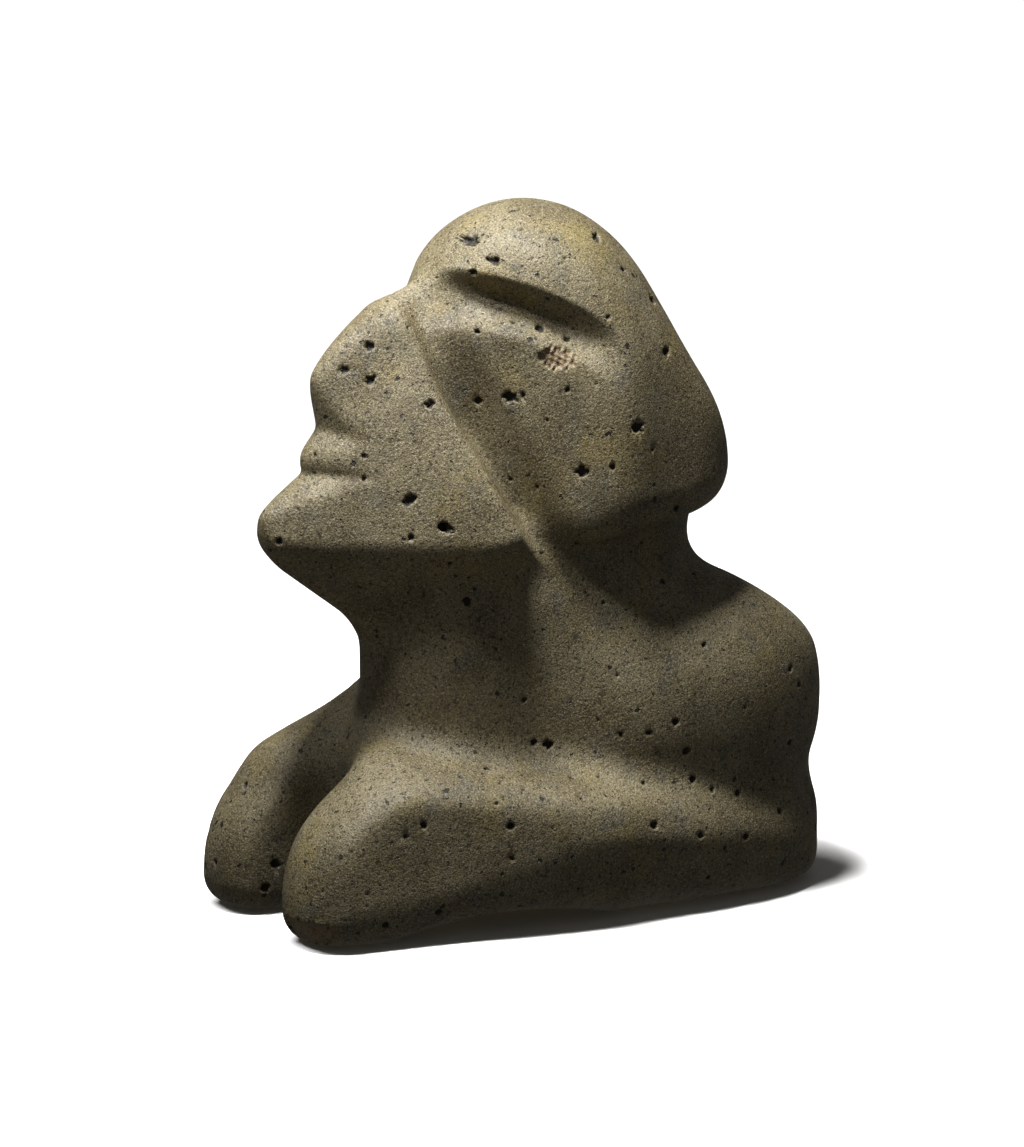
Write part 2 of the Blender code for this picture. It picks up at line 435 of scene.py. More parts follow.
@dataclass
class Carving:
    """The whole stone as one smooth solid, and the skin of fine mesh over it."""

    head: Head = field(default_factory=Head)
    face: Face = field(default_factory=Face)
    body: Body = field(default_factory=Body)
    hollow_behind_face: float = 3.6
    hollow_width: float = 14.0
    grid: float = 2.2
    low: Triple = (-56.0, -91.0, -6.0)
    room: Triple = (112.0, 188.0, 210.0)

    def distance(self, p: Points) -> Depths:
        """Distance outside the stone, in shares.

        Args:
            p: points in shares.

        Returns:
            One distance for each point.
        """
        beside = step((np.abs(p[:, 0]) - 6) / 10)
        blend = 9 + 5 * step((p[:, 2] - 150) / 20) + beside * (10 * step((p[:, 2] - 132) / 24) - 4)
        top = round_min(self.head.distance(p), self.face.distance(p), blend) + self.shade_line(p)
        nape = 10 - 4 * step((20 - p[:, 1]) / 50) * step((p[:, 2] - 84) / 20)
        return round_min(top, self.body.distance(p), nape)

    def shade_line(self, p: Points) -> Depths:
        """The hollow ground out behind the face's rear edge, deepest there and fading out over the cheek.

        Args:
            p: points in shares.

        Returns:
            Its depth at each point, in shares.
        """
        behind = self.face.rear.depth(both_sides(p))
        across = step(behind / 3) * (1 - step((behind - 3) / self.hollow_width))
        high = step((p[:, 2] - 96) / 10) * (1 - step((p[:, 2] - 146) / 24))
        return self.hollow_behind_face * across * high * step((np.abs(p[:, 0]) - 12) / 12)

    def slope(self, p: Points, width: float = 0.1) -> tuple[Depths, Points]:
        """The distance at each point and the way it grows fastest.

        Args:
            p: points in shares.
            width: how far apart the distance is read.

        Returns:
            Distances, and one slope for each point.
        """
        here = self.distance(p)
        ways = width * np.eye(3, dtype=p.dtype)
        return here, np.stack([self.distance(p + way) - here for way in ways], axis=1) / width

    def net(self) -> tuple[Points, np.ndarray]:
        """One point in each grid cell that the surface crosses, and a face over each crossed line.

        Returns:
            Points in shares, and faces of four corners each.
        """
        low = np.array(self.low)
        counts = [int(size / self.grid) + 1 for size in self.room]
        axes = [low[i] + self.grid * np.arange(counts[i]) for i in range(3)]
        points = np.stack(np.meshgrid(*axes, indexing="ij"), axis=-1).reshape(-1, 3)
        depth = self.distance(points.astype(np.float32)).reshape(counts)
        stone = depth < 0
        corners = [np.array((i, j, k)) for i in (0, 1) for j in (0, 1) for k in (0, 1)]
        n = np.array(depth.shape) - 1
        filled = sum(stone[i:i + n[0], j:j + n[1], k:k + n[2]].astype(int) for i, j, k in corners)
        crossed = (filled > 0) & (filled < 8)
        number = np.full(crossed.shape, -1)
        number[crossed] = np.arange(crossed.sum())
        cells = np.argwhere(crossed)
        faces = []
        for axis in range(3):
            along, u, v = (np.eye(3, dtype=int)[(axis + i) % 3] for i in range(3))
            inner = tuple(slice(0, -1) if i == axis else slice(1, -1) for i in range(3))
            beyond = tuple(slice(1, None) if i == axis else slice(1, -1) for i in range(3))
            start, end = stone[inner], stone[beyond]
            for crossing, turn in ((start & ~end, 1), (end & ~start, -1)):
                at = np.argwhere(crossing) + 1 - along
                ring = [number[tuple((at - away).T)] for away in (0 * u, u, u + v, v)]
                faces.append(np.stack(ring[::turn], axis=1))
        return low + (cells + 0.5) * self.grid, np.concatenate(faces)

    def settle(self, p: Points, rounds: int, reach: float) -> Points:
        """Moves each point straight onto the carved surface.

        Args:
            p: points in shares, near the surface.
            rounds: how many times each point is moved.
            reach: the furthest that one move goes.

        Returns:
            The points on the surface.
        """
        p = p.astype(np.float32)
        for _ in range(rounds):
            depth, steep = self.slope(p)
            move = -(depth / np.maximum((steep ** 2).sum(axis=1), 0.2))[:, None] * steep
            length = np.linalg.norm(move, axis=1, keepdims=True)
            p = p + move * np.minimum(1, reach / np.maximum(length, 1e-9))
        return p


@dataclass(frozen=True)
class View:
    """Where the photograph is taken from. Lengths are shares, and pixels are those of its full frame."""

    azimuth: float = 60.0
    elevation: float = 10.0
    target: Triple = (0.0, -2.0, 91.5)
    distance: float = 1200.0
    lens_px: float = 4284.0
    image_px: tuple[int, int] = (1024, 1147)
    near: float = 1020.0    # a place on every line of sight that is still in front of the stone
    close: float = 0.02     # how near to the stone is near enough

    def meets(self, stone: Carving, pixel: Place) -> Place:
        """Where the line of sight through a pixel meets the stone.

        Args:
            stone: the carving.
            pixel: across and down from the photograph's top left corner.

        Returns:
            The place in shares, to a tenth.
        """
        back, right = np.array(way(self.azimuth, self.elevation)), np.array(way(self.azimuth + 90, 0))
        across, down = (pixel[i] - self.image_px[i] / 2 for i in (0, 1))
        sight = (across * right - down * np.cross(back, right)) / self.lens_px - back
        sight /= np.linalg.norm(sight)
        eye = np.array(self.target) + self.distance * back
        far, gap = self.near, 1.0
        while gap > self.close and far < 2 * self.distance:
            gap = float(stone.distance((eye + far * sight)[None].astype(np.float32))[0])
            far += max(0.7 * gap, self.close) if gap > self.close else 0
        return tuple(float(value) for value in (eye + far * sight).round(1))


def on_stone(mark: Bruise | Gouge | Stain, stone: Carving, view: View) -> Bruise | Gouge | Stain:
    """The mark with its middle on the stone, also where a pixel of the photograph gives it."""
    return mark if len(mark.centre) == 3 else replace(mark, centre=view.meets(stone, mark.centre))


@dataclass(frozen=True)
class Bruise:
    """A shallow chip with a rough floor, as a knock leaves in stone."""

    centre: Place
    half_width: float
    half_height: float
    depth: float

    def cover(self, p: Points) -> Depths:
        """1 in the middle of the chip and 0 outside it.

        Args:
            p: points in shares.

        Returns:
            One share for each point.
        """
        q = p - np.array(self.centre, p.dtype)
        y, z = q[:, 1], q[:, 2]
        wobble = 0.22 * np.sin(2.1 * y + 0.7) * np.cos(1.7 * z) + 0.1 * np.sin(4.3 * y - 3.1 * z)
        span = np.sqrt((y / self.half_width) ** 2 + (z / self.half_height) ** 2) + wobble
        near = np.abs(q[:, 0]) < 3 * self.half_width
        return np.where(near, step((1.15 - span) / 0.35), 0)

    def floor(self, p: Points) -> Depths:
        """How deep the chip goes at each point, in shares."""
        rough = 1 + 0.3 * np.sin(2.9 * p[:, 1] + 1.3 * p[:, 2]) * np.sin(2.3 * p[:, 2] - 0.8 * p[:, 1] + 1)
        return self.depth * self.cover(p) * rough


@dataclass(frozen=True)
class Gouge:
    """One large open pore: an angular hole with steep sides."""

    centre: Place
    half_width: float
    depth: float

    def floor(self, p: Points) -> Depths:
        """How deep the hole goes at each point, in shares.

        Args:
            p: points in shares.

        Returns:
            One depth for each point.
        """
        q = p - np.array(self.centre, p.dtype)
        turn = 1.7 * sum(self.centre)
        y, z = q[:, 1], q[:, 2]
        ragged = 1 + 0.3 * np.sin(3.1 * y + turn) * np.cos(2.7 * z + turn) + 0.15 * np.sin(7.3 * z - turn)
        slanted = np.hypot(y + 0.6 * math.sin(turn) * z, 1.15 * z) + 0.25 * np.abs(q[:, 0])
        return self.depth * step((1.25 - slanted / (self.half_width * ragged)) / 0.6)


@dataclass(frozen=True)
class Vesicles:
    """Gas pores in the stone, opened at the surface: round pits of many sizes."""

    spacing: float          # least distance between pits, metres
    smallest: float         # radius, metres
    largest: float
    skew: float             # how rare the large ones are
    depth: float            # depth of a pit over its radius
    seed: int


@dataclass
class StoneSkin:
    """Builds the stone's surface: fine mesh on the carving, then hand-worked unevenness and pits."""

    carving: Carving
    view: View
    material: bpy.types.Material
    bruises: tuple[Bruise, ...] = (
        Bruise((558, 358), 4.0, 3.0, 0.9),
        Bruise((316, 936), 4.5, 3.0, 1.0),
    )
    gouges: tuple[Gouge, ...] = (
        Gouge((470, 240), 2.0, 1.5),
        Gouge((494, 260), 1.55, 1.3),
        Gouge((370, 346), 1.3, 1.2),
        Gouge((345, 370), 1.3, 0.9),
        Gouge((10.8, -52.0, 150.5), 1.6, 1.0),
        Gouge((430, 404), 1.3, 1.1),
        Gouge((410, 500), 1.6, 1.3),
        Gouge((28.6, -39.0, 111.5), 1.7, 1.2),
        Gouge((510, 397), 1.7, 1.2),
        Gouge((22.0, -24.0, 163.0), 1.6, 1.2),
        Gouge((583, 472), 1.7, 1.2),
        Gouge((40.5, 13.0, 137.0), 2.1, 1.4),
        Gouge((667, 352), 1.6, 1.3),
        Gouge((653, 300), 1.45, 1.2),
        Gouge((597, 237), 1.7, 1.2),
        Gouge((549, 744), 1.3, 1.5),
    )
    vesicles: Vesicles = Vesicles(6.0 * MM, 0.25 * MM, 1.5 * MM, 3.4, 1.0, 4)
    unevenness: float = 0.35 * MM
    pit_depth: float = 1.0
    seed: int = 3
    rim_jitter: float = 1.5 * MM
    foot_margin: float = 1.0 * MM
    triangles: int = 190_000

    def base(self) -> bpy.types.Object:
        """The carved form as a fine mesh in metres, with its chips."""
        points, faces = self.carving.net()
        points = self.carving.settle(points, 5, 1.0)
        mesh = bpy.data.meshes.new("carved_form")
        mesh.from_pydata(points.tolist(), [], faces.tolist())
        rough = bpy.data.objects.new("carved_form", mesh)
        bpy.context.scene.collection.objects.link(rough)
        finer = rough.modifiers.new("finer", "SUBSURF")
        finer.levels = finer.render_levels = 2
        fine = plain_copy(rough, "carved_form_fine")
        bpy.data.objects.remove(rough, do_unlink=True)
        co = np.empty(len(fine.data.vertices) * 3, np.float32)
        fine.data.vertices.foreach_get("co", co)
        co = self.carving.settle(co.reshape(-1, 3), 2, 0.6)
        _, way = self.carving.slope(co)
        way /= np.maximum(np.linalg.norm(way, axis=1, keepdims=True), 1e-6)
        fresh = np.zeros(len(co), np.float32)
        for bruise in (on_stone(mark, self.carving, self.view) for mark in self.bruises):
            fresh = np.maximum(fresh, bruise.cover(co)).astype(np.float32)
            co = co - bruise.floor(co)[:, None] * way
        sunk = np.zeros(len(co), np.float32)
        for gouge in (on_stone(mark, self.carving, self.view) for mark in self.gouges):
            sunk = np.maximum(sunk, gouge.floor(co)).astype(np.float32)
        co = co - sunk[:, None] * way
        co[:, 1] -= MIDDLE_Y
        co[:, 2] = np.maximum(co[:, 2], 0)
        fine.data.vertices.foreach_set("co", (co * SHARE).astype(np.float32).ravel())
        for mark, values in ((Mark.FRESH, fresh), (Mark.GOUGED, sunk * SHARE)):
            fine.data.attributes.new(mark.value, "FLOAT", "POINT").data.foreach_set("value", values)
        fine.data.update()
        return fine

    def tree(self) -> bpy.types.NodeTree:
        """Geometry Nodes that wear the surface and open the pits.

        Returns:
            The node tree, with named inputs for its sizes.
        """
        tree = bpy.data.node_groups.new("weathered skin", "GeometryNodeTree")
        face = tree.interface
        face.new_socket("Geometry", in_out="INPUT", socket_type="NodeSocketGeometry")
        for name, value in (("Unevenness", self.unevenness), ("Pit depth", self.pit_depth)):
            face.new_socket(name, in_out="INPUT", socket_type="NodeSocketFloat").default_value = value
        face.new_socket("Seed", in_out="INPUT", socket_type="NodeSocketInt").default_value = self.seed
        face.new_socket("Material", in_out="INPUT", socket_type="NodeSocketMaterial")
        face.new_socket("Geometry", in_out="OUTPUT", socket_type="NodeSocketGeometry")
        n = Nodes(tree)
        given = add_node(tree, "NodeGroupInput").outputs
        place = add_node(tree, "GeometryNodeInputPosition").outputs[0]
        normal = add_node(tree, "GeometryNodeInputNormal").outputs[0]
        inputs = {"Scale": 46.0, "Detail": 2.0, "Roughness": 0.45}
        centred = n.maths("SUBTRACT", add_node(tree, "ShaderNodeTexNoise", {}, inputs).outputs[0], 0.5)
        height = add_node(tree, "ShaderNodeSeparateXYZ", {}, {0: place}).outputs[2]
        off_floor = n.maths("GREATER_THAN", height, self.foot_margin)
        offset = n.scaled(normal, n.maths("MULTIPLY", centred, given["Unevenness"]))
        uneven = n.moved(given["Geometry"], off_floor, offset)
        ragged = add_node(tree, "ShaderNodeTexNoise", {}, {"Scale": 900.0, "Detail": 1.0}).outputs["Color"]
        inputs = {0: ragged, 1: (self.rim_jitter,) * 3, 2: place}
        jittered = add_node(tree, "ShaderNodeVectorMath", {"operation": "MULTIPLY_ADD"}, inputs).outputs[0]
        probe = n.vectors("SUBTRACT", jittered, (self.rim_jitter / 2,) * 3).outputs[0]
        depth = n.maths("MULTIPLY", self.pits(n, uneven, probe, given["Seed"]), given["Pit depth"])
        marked = n.stored(uneven, Mark.PIT.value, depth)
        pitted = n.moved(marked, off_floor, n.scaled(normal, n.maths("MULTIPLY", depth, -1.0)))
        real = add_node(tree, "GeometryNodeRealizeInstances", {}, {0: pitted}).outputs[0]
        inputs = {"Geometry": real, "Material": given["Material"]}
        dressed = add_node(tree, "GeometryNodeSetMaterial", {}, inputs).outputs[0]
        add_node(tree, "NodeGroupOutput", {}, {0: dressed})
        return tree

    def pits(
        self,
        n: Nodes,
        surface: bpy.types.NodeSocket,
        probe: bpy.types.NodeSocket,
        seed: bpy.types.NodeSocket,
    ) -> bpy.types.NodeSocket:
        """Scatters the pores and measures how deep each mesh point lies in one.

        Args:
            n: the tree that gets the nodes.
            surface: the mesh that the pores lie on.
            probe: the ragged position that distances are measured from.
            seed: the tree's seed.

        Returns:
            The socket with the depth in metres.
        """
        pores = self.vesicles
        own_seed = n.maths("ADD", seed, float(pores.seed))
        inputs = {"Mesh": surface, "Distance Min": pores.spacing, "Seed": own_seed}
        inputs["Density Max"] = 0.8 / pores.spacing ** 2
        way_out = {"distribute_method": "POISSON"}
        points = add_node(n.tree, "GeometryNodeDistributePointsOnFaces", way_out, inputs).outputs["Points"]
        chance = add_node(n.tree, "FunctionNodeRandomValue", {"data_type": "FLOAT"}, {"Seed": own_seed})
        rare = n.maths("POWER", chance.outputs[1], pores.skew)
        inputs = {0: rare, 1: pores.largest - pores.smallest, 2: pores.smallest}
        radius = add_node(n.tree, "ShaderNodeMath", {"operation": "MULTIPLY_ADD"}, inputs).outputs[0]
        sized = n.stored(points, "pore_radius", radius)
        inputs = {"Geometry": sized, "Sample Position": probe}
        nearest = add_node(n.tree, "GeometryNodeSampleNearest", {"domain": "POINT"}, inputs).outputs[0]
        named = {"Name": "pore_radius"}
        kept = add_node(n.tree, "GeometryNodeInputNamedAttribute", {"data_type": "FLOAT"}, named).outputs[0]
        wide = n.sampled("FLOAT", sized, kept, nearest)
        place = add_node(n.tree, "GeometryNodeInputPosition").outputs[0]
        where = n.sampled("FLOAT_VECTOR", sized, place, nearest)
        offset = n.vectors("SUBTRACT", probe, where).outputs[0]
        away = n.vectors("LENGTH", offset, (0, 0, 0)).outputs["Value"]
        bowl = n.between(n.maths("DIVIDE", away, wide), 1.15, 0.25, pores.depth)
        return n.maths("MULTIPLY", bowl, wide)

    def build(self) -> bpy.types.Object:
        """The finished skin as one plain mesh.

        Returns:
            The piece, at the origin, in metres.
        """
        form = self.base()
        skin = form.modifiers.new("weathered skin", "NODES")
        skin.node_group = self.tree()
        items = skin.node_group.interface.items_tree
        named = {item.name: item.identifier for item in items if item.in_out == "INPUT"}
        skin[named["Unevenness"]] = self.unevenness
        skin[named["Pit depth"]] = self.pit_depth
        skin[named["Seed"]] = self.seed
        skin[named["Material"]] = self.material
        thin = form.modifiers.new("thinned", "DECIMATE")
        count = 2 * len(form.data.polygons)
        thin.ratio = min(1.0, self.triangles / count)
        thin.use_collapse_triangulate = True
        piece = plain_copy(form, "figure_stone")
        bpy.data.objects.remove(form, do_unlink=True)
        piece.data.shade_smooth()
        LOG.info("stone skin: %d triangles", len(piece.data.polygons))
        return piece


def plain_copy(obj: bpy.types.Object, name: str) -> bpy.types.Object:
    """The evaluated object as a new object with a plain mesh and no modifiers.

    Args:
        obj: the object with its modifiers.
        name: the new object's name.

    Returns:
        The new object.
    """
    bpy.context.view_layer.update()
    graph = bpy.context.evaluated_depsgraph_get()
    shown = obj.evaluated_get(graph)
    mesh = bpy.data.meshes.new_from_object(shown, preserve_all_data_layers=True, depsgraph=graph)
    mesh.name = name
    made = bpy.data.objects.new(name, mesh)
    bpy.context.scene.collection.objects.link(made)
    return made


@dataclass(frozen=True)
class Scratch:
    """A pale line that a hard point has left on the stone."""

    start: Triple           # shares
    end: Triple
    half_width_mm: float
    strength: float


@dataclass(frozen=True)
class Stain:
    """A soft patch of another tint."""

    centre: Place
    radius_mm: float
    colour: str
    strength: float


@dataclass(frozen=True)
class Pores:
    """Pores and dark grains of one size, one to a cell of the stone; the sunk pores are darkened with
    painted shade.
    """

    cell_mm: float          # size of a cell
    held: float             # share of the cells that hold one
    smallest: float         # radius, in cells
    largest: float
    strength: float         # how dark it is: painted shade in sunk pores, the grain's own colour in unsunk ones
    sunk: float             # how deep it is, against the others


class Nodes:
    """A node tree, with short names for what both trees use again and again."""

    def __init__(self, tree: bpy.types.NodeTree) -> None:
        """Keeps the tree."""
        self.tree = tree

    def maths(self, kind: str, a: object, b: object) -> bpy.types.NodeSocket:
        """One sum of two values."""
        return add_node(self.tree, "ShaderNodeMath", {"operation": kind}, {0: a, 1: b}).outputs[0]

    def vectors(self, kind: str, a: object, b: object) -> bpy.types.Node:
        """One sum of two vectors."""
        return add_node(self.tree, "ShaderNodeVectorMath", {"operation": kind}, {0: a, 1: b})

    def scaled(self, vector: object, by: bpy.types.NodeSocket) -> bpy.types.NodeSocket:
        """A vector made longer or shorter."""
        inputs = {0: vector, "Scale": by}
        return add_node(self.tree, "ShaderNodeVectorMath", {"operation": "SCALE"}, inputs).outputs[0]

    def between(self, value: object, low: float, high: float, top: float = 1.0) -> bpy.types.NodeSocket:
        """A smooth rise from 0 to top as value goes from low to high."""
        settings = {"interpolation_type": "SMOOTHSTEP"}
        inputs = {"Value": value, "From Min": low, "From Max": high, "To Min": 0.0, "To Max": top}
        return add_node(self.tree, "ShaderNodeMapRange", settings, inputs).outputs[0]

    def moved(self, mesh: object, chosen: object, offset: object) -> bpy.types.NodeSocket:
        """The mesh with its chosen points moved."""
        inputs = {"Geometry": mesh, "Selection": chosen, "Offset": offset}
        return add_node(self.tree, "GeometryNodeSetPosition", {}, inputs).outputs[0]

    def stored(self, points: object, name: str, value: object) -> bpy.types.NodeSocket:
        """The points with a value stored at each under a name."""
        settings = {"data_type": "FLOAT", "domain": "POINT"}
        inputs = {"Geometry": points, "Name": name, "Value": value}
        return add_node(self.tree, "GeometryNodeStoreNamedAttribute", settings, inputs).outputs[0]

    def sampled(self, kind: str, points: object, value: object, number: object) -> bpy.types.NodeSocket:
        """The value at the point of that number."""
        settings = {"data_type": kind, "domain": "POINT"}
        inputs = {"Geometry": points, "Value": value, "Index": number}
        return add_node(self.tree, "GeometryNodeSampleIndex", settings, inputs).outputs[0]


class StoneTree(Nodes):
    """The stone's shader nodes."""

    def __init__(self, material: bpy.types.Material, warp_mm: float) -> None:
        """Starts the tree.

        Args:
            material: the material that gets the nodes.
            warp_mm: how far the ragged coordinates wander.
        """
        super().__init__(material.node_tree)
        self.shader = self.tree.nodes["Principled BSDF"]
        self.where = add_node(self.tree, "ShaderNodeTexCoord").outputs["Object"]
        inputs = {"Vector": self.where, "Scale": 1 / (1.1 * MM), "Detail": 2.0}
        wander = add_node(self.tree, "ShaderNodeTexNoise", {}, inputs).outputs["Color"]
        inputs = {0: wander, 1: (warp_mm * MM,) * 3, 2: self.where}
        moved = add_node(self.tree, "ShaderNodeVectorMath", {"operation": "MULTIPLY_ADD"}, inputs)
        self.ragged = moved.outputs[0]

    def noise(self, size_mm: float, detail: float, rough: float = 0.5) -> bpy.types.NodeSocket:
        """A noise whose features are about size_mm across."""
        inputs = {"Vector": self.where, "Scale": 1 / (size_mm * MM), "Detail": detail, "Roughness": rough}
        return add_node(self.tree, "ShaderNodeTexNoise", {}, inputs).outputs[0]

    def spread(self, value: bpy.types.NodeSocket, low: float, high: float) -> bpy.types.NodeSocket:
        """The value from 0 to 1 stretched to run from low to high."""
        inputs = {"Value": value, "To Min": low, "To Max": high}
        return add_node(self.tree, "ShaderNodeMapRange", {}, inputs).outputs[0]

    def tinted(self, under: object, over: str, share: bpy.types.NodeSocket) -> bpy.types.NodeSocket:
        """One colour laid over another by a share."""
        inputs = {0: share, 6: under, 7: linear(over)}
        return add_node(self.tree, "ShaderNodeMix", {"data_type": "RGBA"}, inputs).outputs[2]

    def read(self, mark: Mark) -> bpy.types.NodeSocket:
        """What the mesh carries under a mark's name."""
        return add_node(self.tree, "ShaderNodeAttribute", {"attribute_name": mark.value}).outputs["Fac"]

    def pores(self, kind: Pores) -> bpy.types.NodeSocket:
        """1 inside the pores of one size, with ragged rims.

        Args:
            kind: their sizes.

        Returns:
            The socket, from 0 outside to 1 inside.
        """
        inputs = {"Vector": self.ragged, "Scale": 1 / (kind.cell_mm * MM)}
        cells = add_node(self.tree, "ShaderNodeTexVoronoi", {"feature": "F1"}, inputs)
        chance = add_node(self.tree, "ShaderNodeSeparateColor", {}, {0: cells.outputs["Color"]})
        held = self.maths("LESS_THAN", chance.outputs[0], kind.held)
        radius = self.spread(self.maths("POWER", chance.outputs[1], 2.0), kind.smallest, kind.largest)
        inside = self.between(self.maths("SUBTRACT", cells.outputs["Distance"], radius), 0.035, -0.045)
        return self.maths("MULTIPLY", held, inside)

    def line(self, scratch: Scratch) -> bpy.types.NodeSocket:
        """The strength of one scratch at each point.

        Args:
            scratch: where it runs.

        Returns:
            The socket, 0 away from the scratch.
        """
        start, end = in_metres(scratch.start), in_metres(scratch.end)
        run = end - start
        offset = self.vectors("SUBTRACT", self.ragged, tuple(start)).outputs[0]
        along = self.vectors("DOT_PRODUCT", offset, tuple(run / run.length_squared)).outputs["Value"]
        nearest = self.scaled(tuple(run), self.maths("MINIMUM", self.maths("MAXIMUM", along, 0.0), 1.0))
        away = self.vectors("DISTANCE", offset, nearest).outputs["Value"]
        half = scratch.half_width_mm * MM
        return self.between(away, half, 0.25 * half, scratch.strength)

    def patch(self, stain: Stain) -> bpy.types.NodeSocket:
        """The strength of one stain at each point.

        Args:
            stain: its place and size.

        Returns:
            The socket, 0 away from the stain.
        """
        away = self.vectors("DISTANCE", self.where, tuple(in_metres(stain.centre))).outputs["Value"]
        radius = stain.radius_mm * MM
        edge = self.maths("ADD", away, self.maths("MULTIPLY", self.noise(5.0, 3), 0.9 * radius))
        return self.between(edge, 1.35 * radius, 0.7 * radius, stain.strength)


@dataclass(frozen=True)
class AndesiteFinish:
    """Olive-grey andesite, pecked to shape and ground smooth: grained, pitted, with painted shade in its
    pits and a low sheen.
    """

    name: str = "ground andesite, pecked and finely pitted"
    lit: str = "#8e8262"
    deep: str = "#75694b"
    warm: str = "#958450"
    cool: str = "#6c685a"
    dark_grain: str = "#3a3427"
    pale_grain: str = "#d0c5a6"
    # painted shade: the dark laid into the sunk pores, the pits and the gouges, standing in for the shade
    # inside them
    pit_shade: str = "#1d1810"
    inclusion: str = "#3b3a38"
    break_colour: str = "#a98e6e"
    scratch: str = "#b3ab92"
    roughness: float = 0.5
    ior: float = 1.55
    grain_mm: float = 0.5
    mottle_mm: float = 22.0
    warp_mm: float = 2.0
    grain_relief: float = 0.5 * MM
    pits: tuple[Pores, ...] = (
        Pores(3.4, 0.45, 0.04, 0.24, 0.92, 1.0),
        Pores(1.2, 0.5, 0.08, 0.34, 0.85, 0.8),
    )
    inclusions: Pores = Pores(8.0, 0.22, 0.05, 0.2, 0.6, 0.0)
    stains: tuple[Stain, ...] = (
        Stain((590, 240), 15.0, "#97874c", 0.4),
        Stain((30.0, -10.0, 120.0), 14.0, "#8c7a45", 0.35),
        Stain((33.0, -70.0, 40.0), 12.0, "#9a8d6d", 0.4),
        Stain((-24.0, -60.0, 20.0), 14.0, "#8a7438", 0.35),
    )
    scratches: tuple[Scratch, ...] = (
        Scratch((40.0, 38.0, 80.5), (36.0, 62.0, 81.0), 0.42, 0.55),
        Scratch((41.5, 40.0, 77.0), (34.0, 74.0, 77.5), 0.35, 0.5),
        Scratch((30.0, 55.0, 87.5), (24.0, 74.0, 84.0), 0.4, 0.4),
        Scratch((38.5, -79.0, 20.0), (39.0, -74.0, 29.0), 0.5, 0.5),
        Scratch((36.0, -81.0, 17.0), (38.5, -78.0, 23.0), 0.4, 0.4),
        Scratch((6.5, -78.5, 108.0), (3.5, -78.5, 116.0), 0.45, 0.45),
        Scratch((8.0, -77.0, 107.5), (6.0, -77.0, 113.0), 0.4, 0.35),
    )

    def build(self, stone: Carving, view: View) -> bpy.types.Material:
        """The stone as a node material on Object coordinates.

        Args:
            stone: the carving that the stains lie on.
            view: where the photograph is taken from.

        Returns:
            The material.
        """
        material = bpy.data.materials.new(self.name)
        material.use_nodes = True
        n = StoneTree(material, self.warp_mm)
        n.shader.inputs["IOR"].default_value = self.ior
        n.shader.inputs["Metallic"].default_value = 0.0
        base = add_node(n.tree, "ShaderNodeRGB")
        base.outputs[0].default_value = linear(self.lit)
        colour = n.tinted(base.outputs[0], self.deep, n.between(n.noise(self.mottle_mm, 4, 0.6), 0.42, 0.62))
        colour = n.tinted(colour, self.warm, n.between(n.noise(self.mottle_mm * 0.7, 3), 0.54, 0.72, 0.6))
        colour = n.tinted(colour, self.cool, n.between(n.noise(self.mottle_mm * 0.4, 3), 0.55, 0.72, 0.6))
        for stain in self.stains:
            colour = n.tinted(colour, stain.colour, n.patch(on_stone(stain, stone, view)))
        grain, coarse = n.noise(self.grain_mm, 2, 0.75), n.noise(self.grain_mm * 2.6, 2, 0.6)
        colour = n.tinted(colour, self.dark_grain, n.between(grain, 0.51, 0.68, 0.85))
        colour = n.tinted(colour, self.pale_grain, n.between(grain, 0.47, 0.30, 0.7))
        colour = n.tinted(colour, self.dark_grain, n.between(coarse, 0.57, 0.68, 0.7))
        included = n.maths("MULTIPLY", n.pores(self.inclusions), self.inclusions.strength)
        colour = n.tinted(colour, self.inclusion, included)
        relief = n.maths("MULTIPLY", grain, -0.5)
        relief = n.maths("SUBTRACT", relief, n.maths("MULTIPLY", coarse, 0.5))
        # painted shade: each sunk pore is darkened with the pit colour as well as pressed in by the bump
        for kind in self.pits:
            opened = n.pores(kind)
            colour = n.tinted(colour, self.pit_shade, n.maths("MULTIPLY", opened, kind.strength))
            relief = n.maths("SUBTRACT", relief, n.maths("MULTIPLY", opened, kind.sunk))
        fresh, gouged, carved = (n.read(mark) for mark in Mark)
        # painted shade: the mesh's pits and gouges are darkened more the deeper they go
        colour = n.tinted(colour, self.pit_shade, n.between(carved, 0.12 * MM, 0.6 * MM, 0.9))
        colour = n.tinted(colour, self.pit_shade, n.between(gouged, 0.25 * MM, 0.8 * MM, 0.95))
        patchy = n.spread(n.between(coarse, 0.6, 0.4), 0.35, 1.0)
        broken = n.maths("MULTIPLY", n.between(fresh, 0.1, 0.9, 0.85), patchy)
        colour = n.tinted(colour, self.break_colour, broken)
        for scratch in self.scratches:
            colour = n.tinted(colour, self.scratch, n.line(scratch))
        n.tree.links.new(colour, n.shader.inputs["Base Color"])
        worn = n.spread(n.between(n.noise(9.0, 2), 0.35, 0.65), self.roughness - 0.08, self.roughness + 0.12)
        n.tree.links.new(worn, n.shader.inputs["Roughness"])
        inputs = {"Height": relief, "Strength": 1.0, "Distance": self.grain_relief}
        bump = add_node(n.tree, "ShaderNodeBump", {}, inputs)
        n.tree.links.new(bump.outputs[0], n.shader.inputs["Normal"])
        return material


@dataclass(frozen=True)
class Softbox:
    """A rectangular soft light aimed at the figure."""

    name: str
    azimuth: float          # degrees round the figure, from its front towards its left side
    elevation: float        # degrees above the horizon
    away: float             # metres from the point it is aimed at
    size: tuple[float, float]
    watts: float


